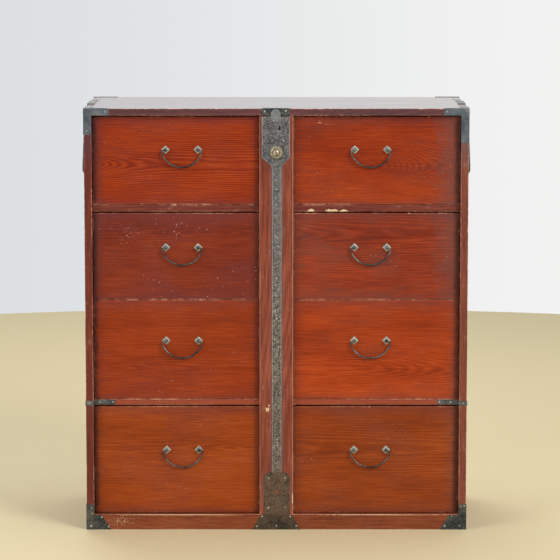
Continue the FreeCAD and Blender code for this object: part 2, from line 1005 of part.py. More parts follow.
save("bar_board", [bar_board()])
save("bar_head_plate", [head_plate()])
save("bar_strap", [bar_strap()])
save("bar_foot_plate", [foot_plate()])
save("bar_tongue", [bar_tongue()])
save("lock_rosette", [rosette()])
save("lock_case", [lock_case()])
save("lock_bolt", [lock_bolt()])
save("lock_button", [lock_button()])
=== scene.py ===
import bpy, math
from mathutils import Matrix, Vector, kdtree


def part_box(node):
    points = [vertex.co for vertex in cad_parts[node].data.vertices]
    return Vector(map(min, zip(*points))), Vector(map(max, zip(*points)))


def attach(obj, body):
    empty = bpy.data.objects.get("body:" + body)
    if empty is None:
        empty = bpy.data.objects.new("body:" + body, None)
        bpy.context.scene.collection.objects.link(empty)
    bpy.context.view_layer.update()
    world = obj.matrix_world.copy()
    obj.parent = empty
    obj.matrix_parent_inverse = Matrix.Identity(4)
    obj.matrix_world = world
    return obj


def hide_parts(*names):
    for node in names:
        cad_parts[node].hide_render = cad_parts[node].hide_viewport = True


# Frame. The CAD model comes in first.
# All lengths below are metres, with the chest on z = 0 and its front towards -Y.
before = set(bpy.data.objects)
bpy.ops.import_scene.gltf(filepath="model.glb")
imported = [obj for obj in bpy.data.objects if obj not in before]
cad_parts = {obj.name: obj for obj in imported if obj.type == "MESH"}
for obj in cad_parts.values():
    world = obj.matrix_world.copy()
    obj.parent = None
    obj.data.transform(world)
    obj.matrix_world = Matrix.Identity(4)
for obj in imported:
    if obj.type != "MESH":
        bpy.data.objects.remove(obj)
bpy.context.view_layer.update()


# Case boards: top and sides keep their CAD shape, with edges softened by modifiers.
# The lacquer is red-brown over figured wood, with haze, rubbing and bare wood near the edges.
def srgb(red, green, blue):
    """A colour as it shows on screen, from 0 to 255, made linear."""
    return tuple(((v / 255 + 0.055) / 1.055) ** 2.4 for v in (red, green, blue)) + (1.0,)


def shades(*colours):
    """Several screen colours, such as the dark, middle and light tone of a material."""
    return tuple(srgb(*colour) for colour in colours)


def add(tree, kind, inputs=None, **settings):
    """A new shader node with its settings, and its inputs set or linked."""
    node = tree.nodes.new(kind)
    for key, value in settings.items():
        setattr(node, key, value)
    for key, value in (inputs or {}).items():
        if isinstance(value, bpy.types.NodeSocket):
            tree.links.new(value, node.inputs[key])
        else:
            node.inputs[key].default_value = value
    return node


def maths(tree, operation, *values):
    """The outcome of one sum on one to three numbers."""
    return add(tree, "ShaderNodeMath", dict(enumerate(values)), operation=operation).outputs[0]


def vectors(tree, operation, first, second):
    """The outcome of one sum on two vectors."""
    return add(tree, "ShaderNodeVectorMath", {0: first, 1: second}, operation=operation).outputs[0]


def split(tree, vector):
    """The X, Y and Z of a vector or a colour."""
    return add(tree, "ShaderNodeSeparateXYZ", {0: vector}).outputs


def between(tree, value, low, high, to_low=0.0, to_high=1.0):
    """A value mapped from one range to another and held inside it."""
    ends = {0: value, 1: low, 2: high, 3: to_low, 4: to_high}
    return add(tree, "ShaderNodeMapRange", ends, interpolation_type="SMOOTHSTEP").outputs[0]


def noise(tree, place, scale, detail=3.0, rough=0.55):
    """Cloudy noise round 0.5."""
    settings = {"Vector": place, "Scale": scale, "Detail": detail, "Roughness": rough}
    return add(tree, "ShaderNodeTexNoise", settings).outputs[0]


def cells(tree, place, scale):
    """A pattern of scattered points: the distance to the nearest one, and that point's own colour."""
    return add(tree, "ShaderNodeTexVoronoi", {"Vector": place, "Scale": scale}).outputs[:2]


def blend(tree, factor, low, high, mode="MIX"):
    """Two colours mixed by a factor."""
    mixed = add(tree, "ShaderNodeMix", {0: factor, 6: low, 7: high}, data_type="RGBA", blend_type=mode)
    return mixed.outputs[2]


def ramp(tree, factor, *stops):
    """A colour ramp from (position, colour) stops."""
    node = add(tree, "ShaderNodeValToRGB", {0: factor})
    elements = node.color_ramp.elements
    while len(elements) < len(stops):
        elements.new(0.5)
    for element, (position, colour) in zip(elements, stops):
        element.position = position
        element.color = colour
    return node.outputs[0]


def new_material(name):
    """A material with its shader, and object coordinates, which are the chest's own frame."""
    material = bpy.data.materials.new(name)
    material.use_nodes = True
    tree = material.node_tree
    shader = tree.nodes["Principled BSDF"]
    return material, tree, shader, add(tree, "ShaderNodeTexCoord").outputs["Object"]


def bumps(tree, shader, *heights):
    """Bumps from (height, distance) pairs, each laid over the one before."""
    normal = None
    for height, distance in heights:
        inputs = {"Strength": 1.0, "Distance": distance, "Height": height}
        if normal:
            inputs["Normal"] = normal
        normal = add(tree, "ShaderNodeBump", inputs).outputs[0]
    tree.links.new(normal, shader.inputs["Normal"])


def gap_to(tree, axes, axis, value):
    """How far a place is from the plane where one of its axes has a value."""
    return maths(tree, "ABSOLUTE", maths(tree, "SUBTRACT", axes["XYZ".index(axis)], value))


def nearest_edge(tree, axes, edges):
    """How far a place is from its nearest edge. With planes on all three axes that is where two of them
    meet, or else it is the nearest plane."""
    gaps = {}
    for axis, value in edges:
        gap = gap_to(tree, axes, axis, value)
        gaps[axis] = maths(tree, "MINIMUM", gaps[axis], gap) if axis in gaps else gap
    gaps = list(gaps.values())
    if len(gaps) < 3:
        return maths(tree, "MINIMUM", gaps[0], gaps[-1]) if gaps else 1.0
    larger = maths(tree, "MAXIMUM", gaps[0], gaps[1])
    smaller = maths(tree, "MINIMUM", gaps[0], gaps[1])
    return maths(tree, "MAXIMUM", smaller, maths(tree, "MINIMUM", larger, gaps[2]))


def figured(tree, own, along, tones, ring, lean, figure):
    """The colour of cut wood, and its rings, streaks, fibres and clouds, which all run along one axis.
    Growth rings lie round a pith that leaves the board at a slope and levels out over a length."""
    slow, fine = [1.0, 1.0, 1.0], [1.0, 1.0, 1.0]
    slow[along], fine[along] = 0.22, 0.03
    slow_place = vectors(tree, "MULTIPLY", own, slow)
    fine_place = vectors(tree, "MULTIPLY", own, fine)
    parts = split(tree, own)
    slope, level = lean
    rise = maths(tree, "TANH", maths(tree, "DIVIDE", parts[along], level))
    sloped = maths(tree, "MULTIPLY_ADD", rise, slope * level, parts[1])
    aside = parts[2 if along == 0 else 0]
    round_pith = add(tree, "ShaderNodeCombineXYZ", {0: sloped, 1: aside}).outputs[0]
    radius = add(tree, "ShaderNodeVectorMath", {0: round_pith}, operation="LENGTH").outputs["Value"]
    wander = maths(tree, "MULTIPLY", noise(tree, slow_place, 11.0), 26.0)
    phase = maths(tree, "MULTIPLY_ADD", radius, 2 * math.pi / ring, wander)
    rings = maths(tree, "MULTIPLY_ADD", maths(tree, "SINE", phase), 0.5, 0.5)
    streaks = noise(tree, fine_place, 330.0, 4.0, 0.65)
    fibres = noise(tree, fine_place, 900.0, 2.0, 0.6)
    clouds = noise(tree, slow_place, 13.0, 4.0)
    tone = maths(tree, "MULTIPLY_ADD", rings, figure, 0.04 - figure / 2)
    for part, share in ((streaks, 0.36), (clouds, 0.34), (fibres, 0.22)):
        tone = maths(tree, "MULTIPLY_ADD", part, share, tone)
    dark, body, light = tones
    colour = ramp(tree, tone, (0.37, dark), (0.5, body), (0.63, light))
    return colour, rings, streaks, fibres, clouds


def wood(
    name, grain, heart, tones, edges=(), patches=(), gloss=0.36, coat=0.05, ring=0.0048, lean=(0.12, 0.15),
    haze=0.5, mist_shade=(98, 44, 42), specks=1.0, scuffs=0.15, figure=0.08, bands=(), crown=None,
):
    """Lacquered or bare wood, with its grain along one axis and its pith passing the heart. Tones go from
    dark to light. Edges are (axis, value) planes, and haze, rubbing and chips keep close to them. Patches
    are (x, z, a, b, broken, level) bare spots, where a lower level leaves fewer flecks. Bands are (axis,
    value, width, strength, colour) borders. A crown is a height from which a board has the top's finish."""
    material, tree, shader, place = new_material(name)
    own = vectors(tree, "SUBTRACT", place, heart)
    along = "XYZ".index(grain)
    colour, rings, streaks, fibres, clouds = figured(tree, own, along, tones, ring, lean, figure)
    axes = split(tree, place)
    nearest = nearest_edge(tree, axes, edges)
    speckle = noise(tree, place, 75.0, 4.0, 0.62)
    grit = noise(tree, place, 330.0, 3.0, 0.6)
    film = noise(tree, vectors(tree, "MULTIPLY", place, (0.6, 1.0, 1.0)), 9.0, 5.0, 0.62)

    # Haze in the film of lacquer, then borders of another shade.
    mist = between(tree, maths(tree, "ADD", film, between(tree, nearest, 0.0, 0.05, 0.14, 0.0)), 0.42, 0.70)
    mist = maths(tree, "MULTIPLY", mist, between(tree, streaks, 0.38, 0.60, haze, haze * 0.3))
    mist = maths(tree, "MULTIPLY", mist, between(tree, grit, 0.4, 0.6, 0.6, 1.0))
    colour = blend(tree, mist, colour, srgb(*mist_shade))
    for axis, value, width, strength, shade in bands:
        ragged = maths(tree, "MULTIPLY_ADD", speckle, width * 1.6, gap_to(tree, axes, axis, value))
        colour = blend(tree, between(tree, ragged, width, width * 2.1, strength, 0.0), colour, shade)

    # Rubbed edges and dry scuffs, then chips down to bare wood, then flecks.
    rubbed = between(tree, nearest, 0.0006, 0.0022, 1.0, 0.0)
    rubbed = maths(tree, "MULTIPLY", rubbed, between(tree, film, 0.4, 0.6, 0.2, 1.0))
    rubbed = maths(tree, "MULTIPLY", rubbed, between(tree, speckle, 0.42, 0.58, 0.15, 1.0))
    colour = blend(tree, rubbed, colour, srgb(224, 158, 130))
    scuff = between(tree, noise(tree, place, 30.0, 4.0, 0.65), 0.56, 0.78, 0.0, scuffs)
    scuff = maths(tree, "MULTIPLY", scuff, between(tree, streaks, 0.42, 0.62))
    colour = blend(tree, scuff, colour, srgb(196, 166, 156))
    reach = maths(tree, "MULTIPLY", maths(tree, "SUBTRACT", speckle, 0.61), 0.026)
    worn = between(tree, maths(tree, "SUBTRACT", reach, nearest), 0.0, 0.0004)
    for x, z, a, b, broken, level in patches:
        across = maths(tree, "DIVIDE", maths(tree, "SUBTRACT", axes[0], x), a)
        up = maths(tree, "DIVIDE", maths(tree, "SUBTRACT", axes[2], z), b)
        away = maths(tree, "ADD", maths(tree, "POWER", across, 2.0), maths(tree, "POWER", up, 2.0))
        away = maths(tree, "MULTIPLY_ADD", maths(tree, "SUBTRACT", grit, 0.5), broken, away)
        worn = maths(tree, "MAXIMUM", worn, between(tree, away, level - 0.15, level + 0.15, 1.0, 0.0))
    bare = blend(tree, streaks, srgb(214, 172, 124), srgb(255, 244, 206))
    colour = blend(tree, maths(tree, "MULTIPLY", worn, 0.9), colour, bare)
    distance, chance = cells(tree, place, 150.0)
    size = between(tree, split(tree, chance)[0], 0.5, 1.0, 0.0, 0.15 * specks)
    size = maths(tree, "MULTIPLY", size, between(tree, film, 0.44, 0.60))
    flecks = between(tree, maths(tree, "SUBTRACT", size, distance), 0.0, 0.03)
    colour = blend(tree, maths(tree, "MULTIPLY", flecks, 0.85), colour, srgb(226, 186, 170))

    dull = maths(tree, "MULTIPLY_ADD", clouds, 0.22, gloss - 0.11)
    dull = maths(tree, "MULTIPLY_ADD", worn, 0.3, dull)
    if crown:
        upper = between(tree, axes[2], crown - 0.0006, crown - 0.0002)
        colour = blend(tree, upper, colour, srgb(98, 54, 48))
        dull = maths(tree, "MULTIPLY", dull, between(tree, upper, 0.0, 1.0, 1.0, 0.55))
    tree.links.new(colour, shader.inputs["Base Color"])
    tree.links.new(dull, shader.inputs["Roughness"])
    shader.inputs["Coat Weight"].default_value = coat
    shader.inputs["Coat Roughness"].default_value = 0.22
    shader.inputs["Specular IOR Level"].default_value = 0.17
    relief = maths(tree, "MULTIPLY_ADD", fibres, 0.5, rings)
    warp = noise(tree, own, 7.0, 1.0, 0.4)
    bumps(tree, shader, (warp, 0.0012), (relief, 0.00007), (worn, -0.0004))
    return material


def dress(node, material, edge=0.0010):
    """Gives a CAD node its material, and rounds its edges by modifiers, so its mesh stays as it is."""
    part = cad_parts[node]
    for own_slot in part.material_slots:
        own_slot.link = "OBJECT"
        own_slot.material = material
    if edge:
        part.modifiers.new("weld", "WELD").merge_threshold = 0.000001
        flat = part.modifiers.new("flat", "DECIMATE")
        flat.decimate_type = "DISSOLVE"
        flat.angle_limit = math.radians(0.5)
        soft = part.modifiers.new("soft", "BEVEL")
        soft.width = edge
        soft.segments = 3
        soft.angle_limit = math.radians(28)
        soft.harden_normals = True
        part.modifiers.new("shade", "WEIGHTED_NORMAL").keep_sharp = True
    return part


half_width, inner_x, top_under, chest_height = 0.5, 0.48, 1.094, 1.112
front_y, recess_y, rear_y = -0.2275, -0.2075, 0.2275
case_edges = [("Y", front_y), ("Y", rear_y), ("Z", chest_height)]
top_wood = wood(
    "top_lacquer", "X", (0.2, 0.3, 0.9), shades((50, 20, 27), (80, 35, 39), (112, 57, 55)),
    case_edges + [("X", half_width), ("X", -half_width), ("Z", top_under)], gloss=0.25, coat=0.75, haze=0.7,
)
top_shader = top_wood.node_tree.nodes["Principled BSDF"]
top_shader.inputs["Sheen Weight"].default_value = 0.2
top_shader.inputs["Sheen Roughness"].default_value = 0.4
dress("top_board", top_wood)
for side, sign, tones, upper_tint in (
    ("right", 1, shades((90, 47, 36), (132, 71, 53), (162, 98, 74)), srgb(110, 84, 82)),
    ("left", -1, shades((66, 30, 26), (108, 48, 34), (144, 70, 48)), srgb(90, 52, 60)),
):
    # Each side fades to a greyer tint towards its top.
    side_edges = case_edges + [("X", sign * inner_x), ("X", sign * half_width), ("Z", 0.0)]
    side_wood = wood(
        f"{side}_side_lacquer", "Z", (sign * 0.75, -0.1, 0.4), tones, side_edges, haze=0.6, scuffs=0.4,
        specks=0.7, figure=0.05, bands=[("Z", 1.06, 0.10, 0.8, upper_tint)], crown=chest_height,
    )
    dress(f"{side}_side", side_wood)


# Rails between the rows and along the foot. Their edges are rubbed, and long chips on the upper right rail
# and along the ledge show the bare wood.
upper_rail, lower_rail, lower_rail_z, ledge_z = (0.8415, 0.860), (0.330, 0.3455), 0.338, 0.041
rail_wood = wood(
    "rail_lacquer", "X", (0.1, -0.6, 0.5), shades((72, 32, 26), (113, 50, 38), (142, 74, 54)),
    [("Z", z) for z in upper_rail + lower_rail] + [("Y", recess_y), ("X", 0.0)],
    [
        (0.0912, 0.8436, 0.008, 0.0044, 4.0, 1.0), (0.1443, 0.8436, 0.0165, 0.0040, 5.0, 1.0),
        (0.1765, 0.8436, 0.0105, 0.0038, 5.0, 1.0),
    ],
    haze=0.7, scuffs=0.45, bands=[("Z", lower_rail_z, 0.010, 0.55, srgb(176, 84, 54))],
)
dress("drawer_rails", rail_wood, 0.0005)
base_wood = wood(
    "base_lacquer", "X", (-0.3, -0.5, -0.1), shades((92, 42, 22), (132, 66, 37), (160, 90, 55)),
    [("Z", ledge_z), ("Z", 0.0), ("Y", front_y), ("X", 0.0)],
    [
        (-0.408, 0.024, 0.046, 0.022, 8.0, -0.55), (-0.256, 0.0394, 0.20, 0.0011, 3.0, 0.6),
        (0.256, 0.0394, 0.20, 0.0011, 4.0, 0.5),
    ],
    haze=0.35, figure=0.03,
)
dress("base_rails", base_wood, 0.0006)


# Bare wood inside and behind. The partition, dust boards and guides share one cut, and the stile has its own.
# The back is five boards with open joints, each cut from another place.
raw_tones = shades((120, 88, 60), (156, 120, 84), (184, 150, 110))
inside_heart, stile_heart = (0.1, 0.4, 0.3), (0.03, -0.6, 0.4)
inside_wood = wood("inside_wood", "X", inside_heart, raw_tones, gloss=0.62, coat=0.0, haze=0.0, specks=0.2)
for node in ("centre_partition", "dust_boards", "drawer_guides"):
    dress(node, inside_wood, 0)
stile_wood = wood("stile_wood", "Z", stile_heart, raw_tones, gloss=0.5, haze=0.0, specks=0.2, scuffs=0.3)
dress("centre_stile", stile_wood, 0.0005)
back_tones = shades((92, 66, 46), (126, 94, 66), (152, 118, 86))
back_low, back_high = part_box("back_boards")
board_step = (back_high.z - back_low.z) / 5


def fresh(name, material, body):
    """Names the object just made, and gives it its material, body and material slot."""
    piece = bpy.context.object
    piece.name = piece.data.name = name
    piece.data.materials.clear()
    piece.data.materials.append(material)
    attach(piece, body)
    return piece


def clear_start():
    """Leaves nothing selected."""
    bpy.ops.object.select_all(action="DESELECT")


def settle(piece):
    """Puts an object's place and size into its mesh, so that it sits at the origin, unturned."""
    piece.data.transform(piece.matrix_basis)
    piece.matrix_basis = Matrix.Identity(4)


def board(low, high, edge):
    """A box between two corners with its edges rounded, from a cube."""
    clear_start()
    bpy.ops.mesh.primitive_cube_add(size=1, location=(Vector(low) + Vector(high)) / 2)
    piece = bpy.context.object
    piece.scale = Vector(high) - Vector(low)
    settle(piece)
    bpy.ops.object.mode_set(mode="EDIT")
    bpy.ops.mesh.select_all(action="SELECT")
    bpy.ops.mesh.bevel(offset=edge, segments=3, affect="EDGES")
    bpy.ops.object.mode_set(mode="OBJECT")
    bpy.ops.object.shade_smooth_by_angle(angle=math.radians(35))
    return piece


open_joint = 0.0004
for index in range(5):
    low_z = back_low.z + board_step * index
    high_z = low_z + board_step
    heart = (0.35 * (-1) ** index, 0.5 + 0.1 * index, low_z + 0.04 * index)
    plank_wood = wood(
        f"back_board_wood_{index + 1}", "X", heart, back_tones, [("Z", low_z), ("Z", high_z)],
        gloss=0.7, coat=0.0, ring=0.009, haze=0.0, specks=0.0, figure=0.1,
    )
    low, high = (back_low.x, back_low.y, low_z + open_joint), (back_high.x, back_high.y, high_z - open_joint)
    board(low, high, 0.0014)
    piece = fresh(f"back_board_{index + 1}", plank_wood, "case")
    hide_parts("back_boards")


# Iron on the case keeps its CAD shape: blackened sheet with brown and green patina, thin at its edges.
# Hand-made nails hold it, all from one turned head.
def old_iron(
    name, tones, rust, seed=0.0, rusty=0.6, metal=0.6, gloss=0.46,
    mottle=0.65, dust_and_top_light=0.0, cool=0.0, relief=1.0,
):
    """Blackened forged iron, mottled, pitted by its relief, with patches of rust, pale dust with painted
    light from above on what faces up, and a bluish tint that grows with height."""
    material, tree, shader, own_place = new_material(name)
    place = vectors(tree, "ADD", own_place, (seed, seed * 0.7, seed * 1.3))
    broad = noise(tree, place, 22.0, 4.0, 0.6)
    close = noise(tree, place, 230.0, 5.0, 0.75)
    pits, _ = cells(tree, place, 520.0)
    tone = maths(tree, "MULTIPLY_ADD", close, mottle, maths(tree, "MULTIPLY", broad, 1 - mottle))
    dark, body, light = tones
    colour = ramp(tree, tone, (0.4, dark), (0.5, body), (0.61, light))
    bluish = between(tree, split(tree, own_place)[2], 0.4, 0.95, 0.0, cool)
    colour = blend(tree, bluish, colour, srgb(98, 106, 118))
    # Grooves are darkened, and the sheet's rim is lightened with a painted highlight.
    chasing_and_rim_highlight = add(tree, "ShaderNodeAttribute", attribute_name="chasing_and_rim_highlight").outputs[2]
    colour = blend(tree, between(tree, chasing_and_rim_highlight, 0.0, 1.0, 0.0, 0.5), colour, srgb(30, 28, 27))
    colour = blend(tree, between(tree, chasing_and_rim_highlight, -1.0, 0.0, 0.45, 0.0), colour, srgb(158, 158, 166))
    brown = maths(tree, "MULTIPLY", between(tree, broad, 0.42, 0.6), between(tree, close, 0.35, 0.6))
    colour = blend(tree, maths(tree, "MULTIPLY", brown, rusty), colour, rust)
    # What faces up is lightened: partly dust, partly painted light from above.
    if dust_and_top_light:
        normal = add(tree, "ShaderNodeNewGeometry").outputs["True Normal"]
        dusty_and_top_lit = between(tree, split(tree, normal)[2], 0.7, 0.95, 0.0, dust_and_top_light)
        colour = blend(tree, dusty_and_top_lit, colour, srgb(196, 196, 190))
    tree.links.new(colour, shader.inputs["Base Color"])
    shader.inputs["Metallic"].default_value = metal
    tree.links.new(maths(tree, "MULTIPLY_ADD", close, 0.35, gloss - 0.15), shader.inputs["Roughness"])
    bumps(tree, shader, (broad, 0.0011 * relief), (close, 0.0005 * relief), (pits, 0.0001 * relief))
    return material


iron_tones = shades((44, 46, 50), (82, 86, 90), (132, 136, 138))
case_iron = old_iron("case_iron", iron_tones, srgb(88, 68, 50), dust_and_top_light=0.15)
for node, seed, rusty, mottle, tones in (
    ("top_corner_irons", 12.0, 0.35, 0.3, ((62, 68, 74), (90, 98, 106), (124, 130, 134))),
    ("lower_corner_irons", 14.0, 0.6, 0.5, ((38, 40, 40), (68, 72, 70), (116, 120, 112))),
    ("rail_straps", 16.0, 0.3, 0.6, ((48, 50, 52), (84, 86, 88), (150, 152, 150))),
    ("top_centre_plate", 18.0, 0.3, 0.6, ((24, 26, 26), (54, 58, 58), (104, 110, 108))),
    ("foot_socket_plate", 20.0, 0.8, 0.55, ((40, 34, 26), (70, 60, 48), (112, 100, 84))),
):
    rust = srgb(84, 66, 46)
    plate_iron = old_iron(f"{node}_iron", shades(*tones), rust, seed, rusty, mottle=mottle, dust_and_top_light=0.15)
    dress(node, plate_iron, 0.0004)


def skin(rings, sides, ends=True):
    """A mesh over rings of (centre, aside, out): a circle is extruded, then each ring is put in place."""
    clear_start()
    fill = "NGON" if ends else "NOTHING"
    sideways = (0, math.pi / 2, 0)
    bpy.ops.mesh.primitive_circle_add(vertices=sides, radius=1, fill_type=fill, rotation=sideways)
    settle(bpy.context.object)
    bpy.ops.object.mode_set(mode="EDIT")
    bpy.ops.mesh.select_all(action="SELECT")
    for _ in rings[1:]:
        bpy.ops.mesh.extrude_region_move(TRANSFORM_OT_translate={"value": (1, 0, 0)})
    bpy.ops.object.mode_set(mode="OBJECT")
    piece = bpy.context.object
    for vertex in piece.data.vertices:
        centre, aside, out = rings[round(vertex.co.x)]
        vertex.co = centre + aside * vertex.co.y + out * vertex.co.z
    bpy.ops.object.mode_set(mode="EDIT")
    bpy.ops.mesh.select_all(action="SELECT")
    bpy.ops.mesh.remove_doubles(threshold=0.000001)
    bpy.ops.mesh.normals_make_consistent(inside=False)
    bpy.ops.object.mode_set(mode="OBJECT")
    bpy.ops.object.shade_smooth_by_angle(angle=math.radians(40))
    return piece


def turned(centre, profile, sides, closed=False):
    """A lathe shape facing -Y, from (radius, height) pairs."""
    rings = [
        (Vector(centre) - Vector((0, height, 0)), Vector((radius, 0, 0)), Vector((0, 0, radius)))
        for radius, height in profile
    ]
    if closed:
        rings.append(rings[0])
    return skin(rings, sides, ends=not closed)


def joined(pieces):
    """Several objects made one."""
    clear_start()
    for piece in pieces:
        piece.select_set(True)
    bpy.context.view_layer.objects.active = pieces[0]
    if len(pieces) > 1:
        bpy.ops.object.join()
    return bpy.context.object


def copied(piece, matrix):
    """A copy of a piece with its own mesh, moved by a matrix."""
    twin = piece.copy()
    twin.data = piece.data.copy()
    twin.data.transform(matrix)
    bpy.context.collection.objects.link(twin)
    return twin


facing = {"front": Matrix.Identity(4), "top": Matrix.Rotation(-math.pi / 2, 4, "X")}
facing["right"] = Matrix.Rotation(math.pi / 2, 4, "Z")
facing["left"] = Matrix.Rotation(-math.pi / 2, 4, "Z")
facing["back"] = Matrix.Rotation(math.pi, 4, "Z")
nail_profile = [(0.0024, -0.0006), (0.0024, 0.0001), (0.0021, 0.0008), (0.0013, 0.0013), (0.0005, 0.0014)]


def nails(name, places, body, material, size=1.0):
    """Nail heads at (x, y, z, side), each turned and sized a little differently."""
    first = turned((0, 0, 0), nail_profile, 9)
    heads = []
    for index, (x, y, z, side) in enumerate(places):
        grown = size * (1 + 0.12 * math.sin(index * 5.3))
        own_turn = Matrix.Rotation(index * 1.7, 4, "Y") @ Matrix.Scale(grown, 4)
        heads.append(copied(first, Matrix.Translation((x, y, z)) @ facing[side] @ own_turn))
    bpy.data.objects.remove(first)
    joined(heads)
    return fresh(name, material, body)


nail_tones = shades((112, 116, 112), (162, 166, 160), (210, 214, 206))
nail_iron = old_iron("nail_iron", nail_tones, srgb(120, 100, 76), 3.0, 0.3, 0.35, 0.36)
iron_thick = 0.0012
iron_y = front_y - iron_thick
places = [(x, iron_y, z, "front") for x, z in (
    (-0.444, 1.1035), (0.443, 1.1035),
    (-0.487, 0.058), (-0.4852, 0.0427), (-0.4607, 0.0337), (-0.4885, 0.0099), (-0.4430, 0.0076),
    (0.4863, 0.0620), (0.4619, 0.0365), (0.4955, 0.0640), (0.4836, 0.0105), (0.4446, 0.0100),
    (-0.038, 0.035), (0.037, 0.035), (-0.052, 0.009), (0.0, 0.010), (0.053, 0.010),
    (-0.0298, 1.1050), (0.0244, 1.1062), (-0.490, lower_rail_z), (0.490, lower_rail_z), (-0.492, 1.055),
)]
places += [(x, recess_y - iron_thick, lower_rail_z, "front") for x in (-0.464, -0.430, 0.429, 0.4585)]
for side, sign, drop_z in (("right", 1, 1.03), ("left", -1, 1.05)):
    x = sign * (half_width + iron_thick)
    places += [(x, y, z, side) for y, z in (
        (-0.219, 1.102), (-0.175, 1.103), (-0.219, drop_z), (0.219, 1.102), (0.219, 1.06), (0.186, 1.103),
        (-0.219, 0.06), (-0.219, 0.01), (-0.19, 0.035), (-0.21, lower_rail_z), (-0.188, lower_rail_z),
    )]
    places += [(sign * 0.49, y, 1.1118, "top") for y in (-0.218, -0.178, 0.2, 0.219)]
    places += [(sign * 0.45, y, 1.1118, "top") for y in (-0.2232, 0.2232)]
    places += [(sign * x, 0.2271, z, "back") for x, z in ((0.488, 1.102), (0.488, 1.06), (0.449, 1.103))]
nails("case_nails", places, "case", nail_iron)
dark_tones = shades((66, 74, 80), (88, 96, 102), (120, 126, 130))
dark_nail_iron = old_iron("dark_nail_iron", dark_tones, srgb(80, 66, 54), 23.0)
places = [(x, iron_y, z, "front") for x, z in ((-0.490, 1.103), (0.490, 1.103), (0.490, 1.048))]
nails("corner_nails", places, "case", dark_nail_iron, 0.9)


# Carrying handles: forged bars that thicken towards the foot, hung in the eyes of a folded bracket.
# They lean out a little at rest. The brackets keep their CAD shape.
handle_x, handle_z = 0.5062, 1.078
handle_thick, handle_thin = 0.0037, 0.0033
handle_iron = old_iron("handle_iron", iron_tones, srgb(86, 66, 50), 5.0, 0.5, 0.65, 0.42)
dress("handle_brackets", case_iron, 0.0005)


def arc(centre, radius, start, end, steps):
    """(across, up, outward angle) stations on an arc, without its first."""
    turn = [math.radians(start + (end - start) * index / steps) for index in range(1, steps + 1)]
    return [(centre[0] + radius * math.cos(a), centre[1] + radius * math.sin(a), a) for a in turn]


def rod(stations, place, out, thick, thin, sides=14):
    """A bar through flat stations, thick in its middle and thin at its ends."""
    lengths = [0.0]
    for (x0, z0, _), (x1, z1, _) in zip(stations, stations[1:]):
        lengths.append(lengths[-1] + math.hypot(x1 - x0, z1 - z0))
    rings = []
    for (across, up, angle), length in zip(stations, lengths):
        share = abs(2 * length / lengths[-1] - 1)
        radius = thin + (thick - thin) * (1 - share ** 2.6)
        centre = place(across, up)
        aside = place(across + math.cos(angle), up + math.sin(angle)) - centre
        rings.append((centre, aside * radius, out * radius))
    return skin(rings, sides)


lean = math.radians(2.5)
upright = math.pi / 2
stations = [(x, 0, upright) for x in (0.031, 0.039, 0.047)] + arc((0.047, -0.008), 0.008, 90, 0, 6)
stations += [(0.055, -0.03 - 0.011 * index, 0.0) for index in range(9)]
stations += arc((0.025, -0.118), 0.030, 0, -90, 10) + [(0.0, -0.148, -upright)]
stations += [(-x, z, math.pi - a) for x, z, a in reversed(stations[:-1])]
for side, sign in (("right", 1), ("left", -1)):
    hinge = Vector((sign * handle_x, 0, handle_z))
    hang = Vector((-sign * math.sin(lean), 0, math.cos(lean)))
    out = Vector((sign * math.cos(lean), 0, math.sin(lean)))
    rod(stations, lambda y, up: hinge + Vector((0, y, 0)) + hang * up, out, handle_thick, handle_thin)
    piece = fresh(f"{side}_pole_handle", handle_iron, f"{side}_handle")
    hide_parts(f"{side}_carrying_handle")
bracket_spots = ((-0.05, 1.104), (0.05, 1.104), (0.0, 1.066), (-0.05, 1.064), (0.05, 1.064))
places = [
    (sign * 0.5016, y, z, "right" if sign > 0 else "left")
    for sign in (1, -1) for y, z in bracket_spots
]
places += [(sign * 0.4905, y, 1.1120, "top") for sign in (1, -1) for y in (-0.045, 0.0, 0.045)]
nails("bracket_nails", places, "case", nail_iron)


